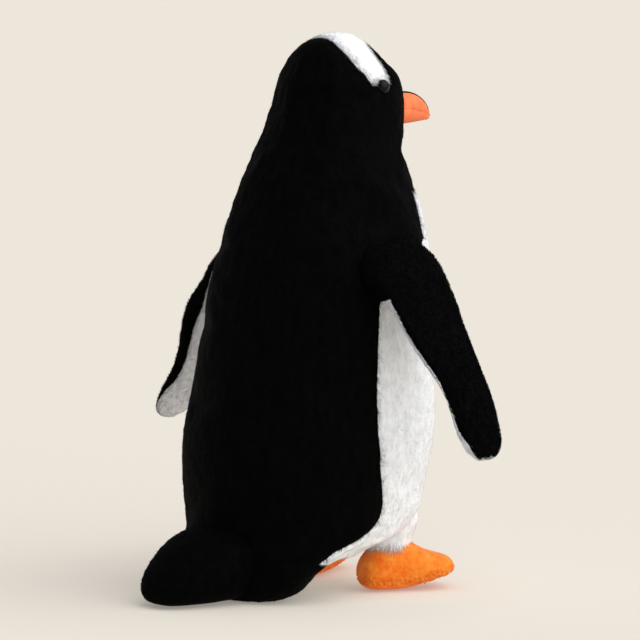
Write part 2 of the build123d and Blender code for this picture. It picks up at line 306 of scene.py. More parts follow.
# %% Cutting a skin along a line
def cut_line(bm, value):
    """Splits edges and faces of bm where value(position) changes sign."""
    level = {v: value(v.co) for v in bm.verts}
    crossing = [e for e in bm.edges if level[e.verts[0]] * level[e.verts[1]] < 0]
    added = []
    for e in crossing:
        first, second = e.verts
        share = level[first] / (level[first] - level[second])
        made = bmesh.utils.edge_split(e, first, min(0.97, max(0.03, share)))[1]
        added.append(made)
    bmesh.ops.connect_verts(bm, verts=added)


def split_panels(verts, faces, lines, sort, allowance):
    """Cuts a form along lines into panels: {label: (verts, faces, normals, faces before the folds)}.

    sort gives the label at a face's centre. The normals are those of the uncut form, so that two panels
    that share a seam move alike there.
    """
    bm = bmesh.new()
    made = [bm.verts.new(v) for v in verts]
    for f in faces:
        bm.faces.new([made[i] for i in f])
    bm.normal_update()
    for line in lines:
        cut_line(bm, line)
    labels = {}
    for f in bm.faces:
        labels.setdefault(sort(f.calc_center_median()), []).append(f)
    panels = {}
    for label, chosen in sorted(labels.items()):
        index, points, polys, outward = {}, [], [], []
        for f in chosen:
            for v in f.verts:
                if v not in index:
                    index[v] = len(points)
                    points.append(tuple(v.co))
                    outward.append(tuple(v.normal))
            polys.append([index[v] for v in f.verts])
        shown = len(polys)
        folds = {}
        for f in chosen:
            for loop in f.loops:
                if all(g in (f,) or sort(g.calc_center_median()) == label for g in loop.edge.link_faces):
                    continue
                ends = (loop.link_loop_next.vert, loop.vert)
                for v in ends:
                    if v not in folds:
                        folds[v] = len(points)
                        points.append(tuple(v.co - v.normal * allowance))
                        outward.append(tuple(v.normal))
                polys.append([index[ends[0]], index[ends[1]], folds[ends[1]], folds[ends[0]]])
        panels[label] = (np.array(points), polys, np.array(outward), shown)
    bm.free()
    return panels


# %% [markdown]
# ## Stuffing and nap
# Stuffing is never even: it makes slow swells a few centimetres wide. The pile adds clumps on top. Both are
# noise that depends only on the place, so two panels move alike along the seam that they share, and the
# seam stays closed. Along a seam the thread pulls the fabric in, which leaves a shallow valley.


# %% Relief of a stuffed skin
SWELL_SIZE = 0.045  # metres
CLUMP_SIZES = (0.0050, 0.0026)


def relief(piece, swell_mm, clump_mm, valley=None):
    """Moves each vertex along its normal by stuffing swells and pile clumps, less a valley at the seams."""
    co, no = coords(piece), normals(piece)
    rise = np.empty(len(co))
    for i, p in enumerate(co):
        v = Vector(p)
        swell = noise.noise(v / SWELL_SIZE)
        clump = noise.noise(v / CLUMP_SIZES[0]) + 0.7 * noise.noise(v / CLUMP_SIZES[1])
        rise[i] = (swell_mm * swell + clump_mm * clump) * MM
    if valley is not None:
        rise -= valley(co)
    move_to(piece, co + no * rise[:, None])


# %% [markdown]
# ## Pile tufts
# Each tuft of cut yarn is a slender closed spike. Its root sits in the backing, and it leans the way that
# the nap was brushed, with some disorder. A real toy has millions of yarns; these are as coarse as they
# need to be to show, about half a millimetre thick.


# %% Tufts on a skin
SPIKE_CORNERS = (0, 2.094, 4.189)  # a third of a turn apart
SPIKE_SIDES = np.array([[0, 2, 1], [0, 1, 3], [1, 2, 3], [2, 0, 3]])
ROOT_DEPTH = 0.6 * MM  # how deep a tuft is rooted, so that no gap shows under it


def tufts(name, skin, material, count, length_mm, width_mm, lean, nap, seed, rich=None, jitter=0.13):
    """A piece of closed spikes rooted over a skin, and how many and how long they are.

    nap(places) gives the brushed direction. rich(places) is 0 on open fabric and 1 on a seam, where the
    pile is five times as dense and twice as long. At -0.25 there is no pile at all.
    """
    rng = np.random.default_rng(seed)
    mesh = skin.data
    mesh.calc_loop_triangles()
    tri = np.empty(len(mesh.loop_triangles) * 3, np.int32)
    mesh.loop_triangles.foreach_get("vertices", tri)
    of_face = np.empty(len(mesh.loop_triangles), np.int32)
    mesh.loop_triangles.foreach_get("polygon_index", of_face)
    tri = tri.reshape(-1, 3)[of_face < skin_facts[skin.name][1]]
    co, no = coords(skin), normals(skin)
    a, b, c = co[tri[:, 0]], co[tri[:, 1]], co[tri[:, 2]]
    near_seam = rich((a + b + c) / 3) if rich else np.zeros(len(tri))
    area = np.linalg.norm(np.cross(b - a, c - a), axis=1) * (1 + 4 * near_seam)
    pick = rng.choice(len(tri), count, p=area / area.sum())
    u, v = rng.random(count), rng.random(count)
    fold = u + v > 1
    u[fold], v[fold] = 1 - u[fold], 1 - v[fold]
    w = 1 - u - v
    root = w[:, None] * a[pick] + u[:, None] * b[pick] + v[:, None] * c[pick]
    n = w[:, None] * no[tri[pick, 0]] + u[:, None] * no[tri[pick, 1]] + v[:, None] * no[tri[pick, 2]]
    n /= np.linalg.norm(n, axis=1)[:, None]
    brushed = nap(root)
    brushed = brushed - n * (brushed * n).sum(1)[:, None]
    brushed /= np.linalg.norm(brushed, axis=1)[:, None] + 1e-9
    way = n * (1 - lean) + brushed * lean + rng.normal(0, jitter, (count, 3))
    way /= np.linalg.norm(way, axis=1)[:, None]
    lengths = length_mm * MM * (rng.uniform(0.65, 1.15, count) * (1 + near_seam[pick]))[:, None]
    side = np.cross(n, rng.normal(0, 1, (count, 3)))
    side /= np.linalg.norm(side, axis=1)[:, None]
    other = np.cross(n, side)
    thick = width_mm * MM / 2
    base = root - n * ROOT_DEPTH
    corners = [base + thick * (math.cos(q) * side + math.sin(q) * other) for q in SPIKE_CORNERS]
    verts = np.stack(corners + [root + way * lengths], 1).reshape(-1, 3)
    first = np.arange(count)[:, None, None] * 4
    faces = (first + SPIKE_SIDES).reshape(-1, 3)
    return spike_piece(name, verts, faces, material)


def spike_piece(name, verts, faces, material):
    """A piece from arrays of triangles, written in one go because there are so many."""
    mesh = bpy.data.meshes.new(name)
    mesh.vertices.add(len(verts))
    mesh.vertices.foreach_set("co", verts.ravel())
    mesh.loops.add(faces.size)
    mesh.loops.foreach_set("vertex_index", faces.ravel().astype(np.int32))
    mesh.polygons.add(len(faces))
    mesh.polygons.foreach_set("loop_start", np.arange(0, faces.size, 3, dtype=np.int32))
    mesh.update(calc_edges=True)
    mesh.materials.append(material)
    piece = bpy.data.objects.new(name, mesh)
    bpy.context.scene.collection.objects.link(piece)
    return piece


def downwards(places):
    return np.tile([0.0, 0.0, -1.0], (len(places), 1))


# %% [markdown]
# ## Body and head skin
# The body, neck and head are one stuffed form. Its level sections are ovals. A station gives the height,
# the half width, the half depth and how far forward its middle is. Heights are shares of the crown height,
# and the other three are shares of the body's half width.

# %% Body and head stations
BODY = [
    (0.002, 0.420, 0.270, -0.620),
    (0.024, 0.600, 0.350, -0.568),
    (0.045, 0.680, 0.385, -0.535),
    (0.064, 0.735, 0.437, -0.477),
    (0.080, 0.800, 0.620, -0.295),
    (0.097, 0.855, 0.740, -0.180),
    (0.119, 0.905, 0.855, -0.053),
    (0.145, 0.940, 0.925, 0.013),
    (0.200, 0.975, 0.962, 0.040),
    (0.265, 1.000, 0.989, 0.075),
    (0.375, 0.960, 0.950, 0.140),
    (0.491, 0.910, 0.915, 0.195),
    (0.607, 0.840, 0.860, 0.250),
    (0.696, 0.728, 0.748, 0.277),
    (0.740, 0.660, 0.675, 0.276),
    (0.783, 0.590, 0.605, 0.298),
    (0.826, 0.535, 0.565, 0.346),
    (0.869, 0.502, 0.548, 0.389),
    (0.913, 0.461, 0.500, 0.398),
    (0.935, 0.411, 0.425, 0.377),
    (0.954, 0.350, 0.360, 0.356),
    (0.972, 0.273, 0.287, 0.358),
    (0.984, 0.190, 0.205, 0.368),
    (0.991, 0.080, 0.090, 0.376),
]
PILE_STAND = 1.6 * MM  # how far the nap stands off its backing once it leans over
CELL = 6 * MM  # grid step before subdivision, small enough for the cloth to pucker at a seam


def body_rings(spacing, around):
    stations = [(z * crown, a * half_body, b * half_body, f * half_body) for z, a, b, f in BODY]
    rows = smooth_rows(stations, spacing) - [0, PILE_STAND, PILE_STAND, 0]
    q = np.arange(around) * 2 * math.pi / around
    rings = []
    for z, a, b, f in rows:
        x = a * np.sin(q)
        y = base_y - f - b * np.cos(q)
        rings.append(np.stack([x, y, np.full(around, max(z, 0.0005))], 1))
    return rings


# %% [markdown]
# ## Where the colours meet
# The white belly panel starts at the side, below the flipper, and wraps under the seat. Its upper end lies
# in front of the flipper roots and stops under the black throat. The crown band runs over the head from eye
# to eye, widest on top.

# %% Seam lines
SIDE_SEAM = np.array([  # height, forward, in millimetres
    (0, 10), (17, 14), (21.5, -8), (24, -32), (31, -25), (38, -10), (45, 1), (52, 5), (60, 5.5), (82, 1.5),
    (104, 0), (125, 1.3), (154, 4.7), (178, 8), (190, 16), (203, 43), (212, 58.5), (243, 57), (400, 57),
]) * MM
THROAT = 239 * MM
THROAT_DIP = 6 * MM
BAND_REAR = np.array([(0, 19), (8, 18), (15, 17.5), (21, 19), (27, 21.5), (32, 27), (35, 31), (60, 40)]) * MM
BAND_FRONT = np.array([(0, 41), (18, 42), (24, 43.5), (31, 44.5), (35, 42), (60, 30)]) * MM
BAND_END = 306 * MM


def belly_side(p):
    """Positive on the white belly and underside."""
    p = np.asarray(p)
    forward = base_y - p[..., 1]
    seam = np.interp(p[..., 2], SIDE_SEAM[:, 0], SIDE_SEAM[:, 1])
    top = THROAT - THROAT_DIP * np.maximum(0.0, 1 - (p[..., 0] / 0.03) ** 2)
    return np.minimum(forward - seam, top - p[..., 2]) + 1e-7


def band_side(p):
    """Positive on the white crown band."""
    p = np.asarray(p)
    forward, across = base_y - p[..., 1], np.abs(p[..., 0])
    rear = np.interp(across, BAND_REAR[:, 0], BAND_REAR[:, 1])
    front = np.interp(across, BAND_FRONT[:, 0], BAND_FRONT[:, 1])
    return np.minimum(np.minimum(forward - rear, front - forward), p[..., 2] - BAND_END) + 1e-7


def off_seam(p):
    """Rough distance from the nearest colour seam."""
    return np.minimum(np.abs(belly_side(p)), np.abs(band_side(p)))


def panel_of(p):
    if belly_side(p) > 0:
        return "belly"
    if band_side(p) > 0:
        return "band"
    return "left" if p[0] > 0 else "right"


# %% [markdown]
# ## Stuffing the body
# The stuffing pushes the skin out everywhere but along the seams, where doubled cloth and thread hold it.
# That is what a cloth simulation with inner pressure and pinned seams does. It runs on a coarse grid, and
# subdivision makes the fine one that the pile stands on.


# %% Cloth inflation
CLOTH_FRAMES = 20  # enough for the skin to come to rest


def puff(piece, pressure, cap, voxel=None, pinned=None):
    """Inflates a closed form as cloth, caps how far it moves, and leaves a plain mesh."""
    scene = bpy.context.scene
    bpy.context.view_layer.objects.active = piece
    if voxel:
        remesh = piece.modifiers.new("remesh", "REMESH")
        remesh.mode = "VOXEL"
        remesh.voxel_size = voxel
        depsgraph = bpy.context.evaluated_depsgraph_get()
        mesh = bpy.data.meshes.new_from_object(piece.evaluated_get(depsgraph))
        piece.modifiers.clear()
        piece.data = mesh
    start = coords(piece)
    cloth = piece.modifiers.new("cloth", "CLOTH")
    settings = cloth.settings
    settings.use_pressure = True
    settings.uniform_pressure_force = pressure
    settings.shrink_min = -0.02
    settings.tension_stiffness = settings.compression_stiffness = 25
    settings.bending_stiffness = 0.6
    settings.effector_weights.gravity = 0
    if pinned:
        group = piece.vertex_groups.new(name="seams")
        group.add([i for i, p in enumerate(start) if pinned(p)], 1.0, "REPLACE")
        settings.vertex_group_mass = group.name
    for number in range(1, CLOTH_FRAMES + 1):
        scene.frame_set(number)
    depsgraph = bpy.context.evaluated_depsgraph_get()
    puffed = bpy.data.meshes.new_from_object(piece.evaluated_get(depsgraph))
    step = np.array([v.co for v in puffed.vertices]) - start
    piece.modifiers.clear()
    scene.frame_set(1)
    far = np.linalg.norm(step, axis=1)[:, None]
    move_to(piece, start + step * np.minimum(1, cap / np.maximum(far, 1e-9)))
    usual, most = np.median(far) / MM, far.max() / MM
    print(f"{piece.name}: {len(start)} vertices, moved {usual:.1f} mm, at most {most:.1f}")
    return piece


def refined(piece, levels):
    """The piece's mesh after subdivision, as arrays; the coarse piece is removed."""
    sub = piece.modifiers.new("sub", "SUBSURF")
    sub.levels = levels
    depsgraph = bpy.context.evaluated_depsgraph_get()
    mesh = bpy.data.meshes.new_from_object(piece.evaluated_get(depsgraph))
    verts = np.array([v.co for v in mesh.vertices])
    faces = [list(p.vertices) for p in mesh.polygons]
    bpy.data.objects.remove(piece)
    return verts, faces


# %% Stuff the body
SEAM_HOLD = 4 * MM


def on_body_seam(p):
    return p[2] < 2 * MM or min(off_seam(p), abs(p[0]) + 2 * MM) < SEAM_HOLD


form = new_piece("body_form", *ring_grid(body_rings(CELL, 80)), black_pile)
body_verts, body_faces = refined(puff(form, 3.0, 1.5 * MM, pinned=on_body_seam), 2)
body_verts[:, 2] = np.maximum(body_verts[:, 2], 0.5 * MM)
print(f"body skin: {len(body_faces)} quads")

# %% Cut the skin into panels
panels = split_panels(body_verts, body_faces, [belly_side, band_side], panel_of, 2 * MM)
SKIN_NODES = {
    "belly": ("belly_and_seat", white_pile, "white_pile", ["belly_panel", "seat_panel", "body_stuffing"]),
    # The crown band uses the lighter white pile, painted light for the top of the head.
    "band": ("crown_band_pile", painted_light_white_pile, "white_pile", ["crown_band"]),
    "left": (
        "back_and_head_left", black_pile, "black_pile",
        ["back_panel_left", "head_panel_left", "throat_panel", "pellet_bag"],
    ),
    "right": (
        "back_and_head_right", black_pile, "black_pile",
        ["back_panel_right", "head_panel_right", "face_panel", "head_stuffing"],
    ),
}
SEAM_DEPTH = 0.9 * MM
SEAM_REACH = 3 * MM


def near_body_seam(p):
    return np.exp(-((off_seam(p) / SEAM_REACH) ** 2))


def body_valley(p):
    return SEAM_DEPTH * near_body_seam(p)


skins = {}
for label, (piece_name, mat, slot_name, nodes) in SKIN_NODES.items():
    body_co, faces, turned, shown = panels[label]
    piece = new_piece(piece_name, body_co, faces, mat, turned, shown)
    relief(piece, 0.6, 0.35, body_valley)
    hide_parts(*nodes)
    skins[label] = piece
    print(piece_name, len(piece.data.polygons), "faces")

# %% [markdown]
# More tufts stand along the seams, where white hair lies over the black edge and the other way round.


# %% Pile on the body
BODY_PILE = {  # tufts, length and width in millimetres, lean
    "belly": (49000, 1.6, 0.45, 0.84),
    "band": (8000, 1.6, 0.45, 0.80),
    "left": (26000, 1.8, 0.50, 0.84),
    "right": (26000, 1.8, 0.50, 0.84),
}
for number, (label, (count, length, width, lean)) in enumerate(BODY_PILE.items()):
    skin = skins[label]
    mat = skin.data.materials[0]
    hair = tufts(
        skin.name + "_tufts", skin, mat, count, length, width, lean, downwards, number, near_body_seam
    )
    for piece in (skin, hair):
        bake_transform(piece)

# %% [markdown]
# ## Flippers
# A flipper is two panels, black outside and white inside, sewn round the edge and lightly stuffed. It is
# drawn hanging straight down from its hinge line, swung out to the angle that the CAD box shows, and bent a
# little at the tip. Cloth simulation puffs it out before it is cut along its edge seam.


# %% Flipper form
hinge = Vector(joints["left_flipper_lift"]["pos_m"])
outer_low, outer_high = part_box("flipper_left_outer")
spread = math.atan2(outer_high.x - hinge.x, hinge.z - outer_low.z)
flipper_length = (outer_high.x - hinge.x) / math.sin(spread)
FLIPPER = [  # share of the length, trailing edge, leading edge, half thickness, shift inwards, in mm
    (-0.16, 2, 42, 11.0, 10),
    (0.00, -3, 51, 13.5, 7),
    (0.12, -2.5, 49, 11.8, 4),
    (0.25, 0, 46, 8.2, 1),
    (0.40, 0.5, 42.5, 6.8, 0),
    (0.52, 3, 40.5, 6.4, 0),
    (0.64, 7.5, 39.5, 6.2, 0),
    (0.78, 9, 39.5, 6.0, 0),
    (0.88, 9.5, 38.5, 5.6, 0),
    (0.95, 12.5, 35.5, 4.6, 0),
    (0.99, 18, 29.5, 2.6, 0),
]
HANG = {  # share of the length, degrees from straight down, for the line from the hinge
    "left": [(0, 40), (0.25, 41), (0.4, 40.5), (0.55, 37.5), (0.7, 36.5), (0.85, 36.8), (1, 37)],
    "right": [(0, 38), (0.25, 38.6), (0.5, 39.2), (0.67, 38.4), (0.83, 36.7), (1, 35.2)],
}
LENGTH = {"left": 1.01, "right": 0.92}  # of the CAD length: stuffing by hand leaves the two unlike
WRAP = {  # share of the length, how far the black panel wraps round the edge on to the inner side, in mm
    "left": [
        (0, 4), (0.27, 3.5), (0.37, 3.9), (0.5, 3.4), (0.64, 3.1),
        (0.77, 2.9), (0.85, 2.2), (0.93, 1), (1, 0),
    ],
    "right": [(0, 0), (0.15, -1.2), (0.55, -1.4), (0.7, -0.4), (0.85, 0), (0.93, -1), (1, 1.5)],
}
WHITE_START = {"left": 0.14, "right": 0.2}  # share of the length where the white begins
ROOT_COVER = 0.25  # how fast the black closes over the inner side above that


def flipper_rings(around):
    stations = [(s * flipper_length, r * MM, l * MM, t * MM, i * MM) for s, r, l, t, i in FLIPPER]
    q = np.arange(around) * 2 * math.pi / around
    rings = []
    for s, rear, lead, thick, shift in smooth_rows(stations, 4 * MM):
        middle, half = (rear + lead) / 2, (lead - rear) / 2
        x = thick * np.sign(np.sin(q)) * np.abs(np.sin(q)) ** 0.8 - shift
        y = -(middle + half * np.cos(q))
        rings.append(np.stack([x, y, np.full(around, -s)], 1))
    return rings


def hang_flipper(co, hand):
    """Places a straight flipper at its hinge and swings it out along its hanging line."""
    angles = smooth_rows([(s, a / 90) for s, a in HANG[hand]], 0.02)
    angle = np.interp(-co[:, 2] / flipper_length, angles[:, 0], np.radians(angles[:, 1] * 90))
    along = -co[:, 2] * LENGTH[hand]
    side = 1 if hand == "left" else -1
    x = hinge.x + np.cos(angle) * co[:, 0] + np.sin(angle) * along
    z = hinge.z + np.sin(angle) * co[:, 0] - np.cos(angle) * along
    return np.stack([side * x, base_y + co[:, 1], z], 1)


def flipper_seam(p, hand):
    """Positive on the black panel, which also covers the root up to the armpit."""
    share = -p[2] / flipper_length
    wrap = np.interp(share, *np.transpose(WRAP[hand])) * MM
    return float(p[0] + wrap + max(0.0, WHITE_START[hand] - share) * ROOT_COVER) + 1e-7


form = new_piece("flipper_form", *ring_grid(flipper_rings(28)), black_pile)
flat_verts, flat_faces = refined(puff(form, 3.0, 1.2 * MM), 2)
print(f"flipper {flipper_length:.3f} m long, {math.degrees(spread):.0f} degrees out")


# %% Flipper panels on both sides
EDGE_REACH = 1.5 * MM


def near_edge(piece, faces, shown):
    """1 on a panel's sewn edge, falling to 0 a few millimetres inside it."""
    edge = sorted({i for f in faces[shown:] for i in f})
    tree = KDTree(len(edge))
    co = coords(piece)
    for i in edge:
        tree.insert(co[i], i)
    tree.balance()
    return lambda places: np.array([math.exp(-((tree.find(p)[2] / EDGE_REACH) ** 2)) for p in places])


def flipper_nap(side):
    way = np.array([side * math.sin(spread), 0.0, -math.cos(spread)])
    return lambda places: np.tile(way, (len(places), 1))


FLIPPER_NODES = {True: ("outer", black_pile, "black_pile"), False: ("inner", white_pile, "white_pile")}
for side, hand in ((1, "left"), (-1, "right")):
    line = lambda p: flipper_seam(p, hand)
    halves = split_panels(flat_verts, flat_faces, [line], lambda p: line(p) > 0, 1 * MM)
    for outward, (face_name, mat, slot_name) in FLIPPER_NODES.items():
        moved, faces, turned, shown = carried(halves[outward], lambda co: hang_flipper(co, hand), side < 0)
        piece = new_piece(f"flipper_{hand}_{face_name}_pile", moved, faces, mat, turned, shown)
        relief(piece, 0.4, 0.3)
        hair_name = piece.name + "_tufts"
        seed = 20 + 2 * side + outward
        rich = near_edge(piece, faces, shown)
        hair = tufts(hair_name, piece, mat, 9000, 1.7, 0.5, 0.84, flipper_nap(side), seed, rich)
        for part in (piece, hair):
            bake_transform(part)
        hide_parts(f"flipper_{hand}_{face_name}")
        if outward:
            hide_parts(f"flipper_{hand}_stuffing")

# %% [markdown]
# ## Tail
# The tail is a short fat wedge, black all over, sewn into the back seam just above the floor. Its root is
# hidden in the body.

# %% Tail form
tail_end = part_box("tail_upper")[1].y
tail_root = joints["tail_lift"]["pos_m"]
TAIL = [  # share of the way from inside the body to the tail's end, half width, top, bottom, in mm
    (0.00, 26, 43, 5),
    (0.20, 31, 44.5, 2.5),
    (0.40, 30, 43.5, 1.6),
    (0.60, 26, 38.5, 1.2),
    (0.78, 21, 30.5, 1.2),
    (0.90, 16.5, 23, 1.8),
    (0.97, 12, 17, 3.5),
    (1.00, 7, 12, 5.5),
]
TAIL_INSET = 0.8 * MM
TAIL_SUNK = 0.020  # metres that the root runs into the body


def tail_rings(around):
    start, end = tail_root[1] - TAIL_SUNK, tail_end - TAIL_INSET
    stations = [(start + s * (end - start), w * MM, t * MM, b * MM) for s, w, t, b in TAIL]
    q = np.arange(around) * 2 * math.pi / around
    rings = []
    for y, wide, top, low in smooth_rows(stations, 2.5 * MM):
        middle, half = (top + low) / 2, (top - low) / 2
        flat = np.where(np.sin(q) < 0, 0.55, 0.9)
        x = wide * np.sign(np.cos(q)) * np.abs(np.cos(q)) ** flat
        z = middle + half * np.sign(np.sin(q)) * np.abs(np.sin(q)) ** 0.85
        rings.append(np.stack([-x, np.full(around, y), z], 1))
    return rings


form = new_piece("tail_form", *ring_grid(tail_rings(56)), black_pile)
tail_verts, tail_faces = refined(puff(form, 3.0, 1.5 * MM, voxel=4.5 * MM), 1)
tail_verts[:, 2] = np.maximum(tail_verts[:, 2], 0.6 * MM)
TAIL_SEAM = 9 * MM
tail_halves = split_panels(
    tail_verts, tail_faces, [lambda p: p[2] - TAIL_SEAM], lambda p: p[2] > TAIL_SEAM, 1.5 * MM
)


def tailwards(places):
    return np.tile([0.0, 0.9, -0.4], (len(places), 1))


for upper, node, count in ((True, "tail_upper", 7000), (False, "tail_underside", 1500)):
    tail_verts, tail_faces, turned, shown = tail_halves[upper]
    piece = new_piece(node + "_pile", tail_verts, tail_faces, black_pile, turned, shown)
    relief(piece, 0.4, 0.35 if upper else 0.1)
    length = 2.0 if upper else 0.8
    hair = tufts(piece.name + "_tufts", piece, black_pile, count, length, 0.5, 0.82, tailwards, 31 + upper)
    for part in (piece, hair):
        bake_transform(part)
    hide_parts(node)
    if upper:
        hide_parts("tail_stuffing")

# %% [markdown]
# ## Feet
# Each foot is a small boot of orange curly pile on a flat sole, rounded at the heel, with the toes curling
# up a little. It is drawn toes forward about the ankle and turned out by the angle of its hinge.

# %% Foot form
ankle = Vector(joints["left_ankle_flex"]["pos_m"])
ankle_axis = joints["left_ankle_flex"]["axis"]
splay = math.atan2(-ankle_axis[1], -ankle_axis[0])
FOOT = [  # forward of the ankle, half width, top, underside, in millimetres
    (-15.0, 4, 13, 9),
    (-14.0, 9, 17, 5),
    (-11, 12.5, 21.5, 1.6),
    (-5, 14.3, 27.5, 0.8),
    (2, 15, 31, 0.6),
    (8, 15.5, 32, 0.6),
    (13, 16, 30.5, 1.0),
    (18, 16.6, 27, 2.4),
    (25, 17.2, 23, 4.4),
    (33, 17, 20.5, 6.8),
    (39, 15, 18.8, 9.0),
    (41.5, 10.5, 17.2, 10.4),
    (42.5, 5, 15, 12),
]


def foot_rings(around):
    stations = [tuple(v * MM for v in row) for row in FOOT]
    q = np.arange(around) * 2 * math.pi / around
    rings = []
    for f, wide, top, low in smooth_rows(stations, 1.6 * MM):
        middle, half = low + (top - low) * 0.42, (top - low)
        up = np.sin(q)
        x = wide * np.sign(np.cos(q)) * np.abs(np.cos(q)) ** 0.75
        z = middle + np.where(up > 0, 0.58 * half * np.abs(up) ** 0.9, -0.42 * half * np.abs(up) ** 0.7)
        rings.append(np.stack([x, np.full(around, -f), z], 1))
    return rings


form = new_piece("foot_form", *ring_grid(foot_rings(44)), foot_pile)
foot_verts, foot_faces = refined(puff(form, 2.5, 0.8 * MM, voxel=3 * MM), 2)
foot_verts[:, 2] = np.maximum(foot_verts[:, 2], 0.3 * MM)
SOLE_SEAM = 4.5 * MM
foot_halves = split_panels(
    foot_verts, foot_faces, [lambda p: p[2] - SOLE_SEAM], lambda p: p[2] > SOLE_SEAM, 1 * MM
)


TURN_OUT = {1: math.radians(8), -1: 0.0}  # the left foot is turned out a little more


def place_foot(co, side):
    angle = splay + TURN_OUT[side]
    turn = np.array([[math.cos(angle), -math.sin(angle)], [math.sin(angle), math.cos(angle)]])
    placed = co.copy()
    placed[:, :2] = co[:, :2] @ turn.T
    return (placed + [ankle.x, ankle.y, 0]) * [side, 1, 1]


CURL_TOP = 9 * MM
CURL_FADE = 1.2 * MM
SMOOTH_CURL = 0.08  # share of the curl that is left on the upper
TOE_RISE = 0.3  # how steeply the edge of the sole rises towards the toes
TOE_START = 12 * MM


def curl(piece, side, depth_mm, step_mm):
    """Small tight loops of curly pile round the edge of the sole, fading into the smooth upper."""
    co, no = coords(piece), normals(piece)
    heel, toe = place_foot(np.array([[0.0, 0.0, 0.0], [0.0, -1.0, 0.0]]), side)
    rise = TOE_RISE * np.maximum(0, (co - heel) @ (toe - heel) - TOE_START)
    low = SMOOTH_CURL + (1 - SMOOTH_CURL) / (1 + np.exp((co[:, 2] - CURL_TOP - rise) / CURL_FADE))
    size = step_mm * MM
    loops = []
    for p in co:
        v = Vector(p) / size
        loops.append(abs(noise.noise(v)) + 0.5 * noise.noise(v * 2))
    move_to(piece, co + no * (depth_mm * MM * low * (np.array(loops) - 0.4))[:, None])


for side, hand in ((1, "left"), (-1, "right")):
    for upper, node in ((True, "upper"), (False, "sole")):
        moved, faces, turned, shown = carried(foot_halves[upper], lambda co: place_foot(co, side), side < 0)
        piece = new_piece(f"foot_{hand}_{node}_pile", moved, faces, foot_pile, turned, shown)
        if upper:
            curl(piece, side, 1.7, 2.0)
        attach(piece, "foot_" + hand)
        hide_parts(f"foot_{hand}_{node}")
        if upper:
            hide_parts(f"foot_{hand}_stuffing")
            seed = 41 + side
            hair_name = piece.name + "_tufts"
            hair = tufts(hair_name, piece, foot_pile, 7000, 0.9, 0.4, 0.75, downwards, seed, jitter=0.25)
            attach(hair, "foot_" + hand)

# %% [markdown]
# ## Ankle cuffs
# The belly's white pile runs down over each ankle as a short leg and ends in a ragged fringe that lies over
# the orange foot.

# %% Ankle cuffs
CUFF = [  # height, half width, half depth, in millimetres
    (25.0, 9, 9),
    (26.0, 11.6, 11.6),
    (29, 12.6, 12.6),
    (33, 13.6, 13.6),
    (38, 15.5, 15.5),
    (44, 17, 17),
    (51, 14.5, 14.5),
]
ANKLE_FORWARD = 4 * MM
FRINGE_FLARE = 0.6  # how far the fringe stands out for each step down
RIM_HEIGHT = 27.5 * MM
RIM_FADE = 2 * MM


def cuff_rings(around):
    q = np.arange(around) * 2 * math.pi / around
    rings = []
    for z, a, b in smooth_rows([tuple(v * MM for v in row) for row in CUFF], 1.5 * MM):
        rings.append(np.stack([a * np.sin(q), -b * np.cos(q) - ANKLE_FORWARD, np.full(around, z)], 1))
    return rings


def fringe_way(side, places):
    """Down and a little outwards from the ankle's middle, so that the fringe lies over the foot."""
    middle = place_foot(np.array([[0, -ANKLE_FORWARD, 0]]), side)[0]
    out = places - middle
    out[:, 2] = 0
    out /= np.linalg.norm(out, axis=1)[:, None]
    way = out * FRINGE_FLARE - [0, 0, 1]
    return way / np.linalg.norm(way, axis=1)[:, None]


def at_rim(places):
    """Full pile at the rim, none above it."""
    return np.clip(1 - (places[:, 2] - RIM_HEIGHT) / RIM_FADE, -0.25, 1.0)


cuff_verts, cuff_faces = ring_grid(cuff_rings(72))
for side, hand in ((1, "left"), (-1, "right")):
    placed = place_foot(cuff_verts, side)
    turned_faces = cuff_faces if side > 0 else [list(reversed(f)) for f in cuff_faces]
    piece = new_piece(f"ankle_cuff_{hand}_pile", placed, turned_faces, white_pile)
    relief(piece, 0.4, 0.3)
    short = tufts(piece.name + "_tufts", piece, white_pile, 3000, 1.8, 0.45, 0.84, downwards, 51 + side)
    # The fringe stands off the rim, so it grows along its own directions in place of the skin's normals.
    skin_facts[piece.name] = (fringe_way(side, coords(piece)), len(piece.data.polygons))
    # The fringe uses the lighter white pile too, painted light on the shaded rim.
    fringe = tufts(
        piece.name + "_fringe", piece, painted_light_white_pile, 1500, 2.6, 0.5, 0.0, downwards, 61 + side, at_rim, 0.2
    )
    for part in (piece, short, fringe):
        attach(part, "torso")
    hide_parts("ankle_cuff_" + hand)

# %% [markdown]
# ## Beak
# The beak is two small shaped halves in a brushed orange knit, with the mouth line sewn between them and a
# strip of dark felt along the top that runs over the hooked tip.

# %% Beak form
beak_middle = (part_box("beak_lower")[0].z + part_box("beak_upper")[1].z) / 2
BEAK = [  # forward, half width, top above the middle, bottom below the middle, in millimetres
    (60, 9.0, 10.0, 9.0),
    (70, 8.8, 9.9, 9.0),
    (79, 7.8, 10.0, 9.0),
    (87, 6.4, 8.8, 8.8),
    (93, 5.0, 6.0, 8.5),
    (97, 3.8, 2.6, 8.3),
    (99.6, 2.6, -1.4, 8.1),
    (101.2, 1.3, -5.2, 7.6),
]


def beak_rings(around):
    q = np.arange(around) * 2 * math.pi / around
    rings = []
    for f, wide, top, low in smooth_rows([tuple(v * MM for v in row) for row in BEAK], 0.7 * MM):
        middle, half = beak_middle + (top - low) / 2, (top + low) / 2
        x = wide * np.sign(np.cos(q)) * np.abs(np.cos(q)) ** 0.9
        z = middle + half * np.sin(q)
        rings.append(np.stack([x, np.full(around, base_y - f), z], 1))
    return rings


MOUTH_LINE = np.array([(62, 1.2), (82, 0.2), (96, -3.5), (102, -6.2)]) * MM  # forward, above the middle


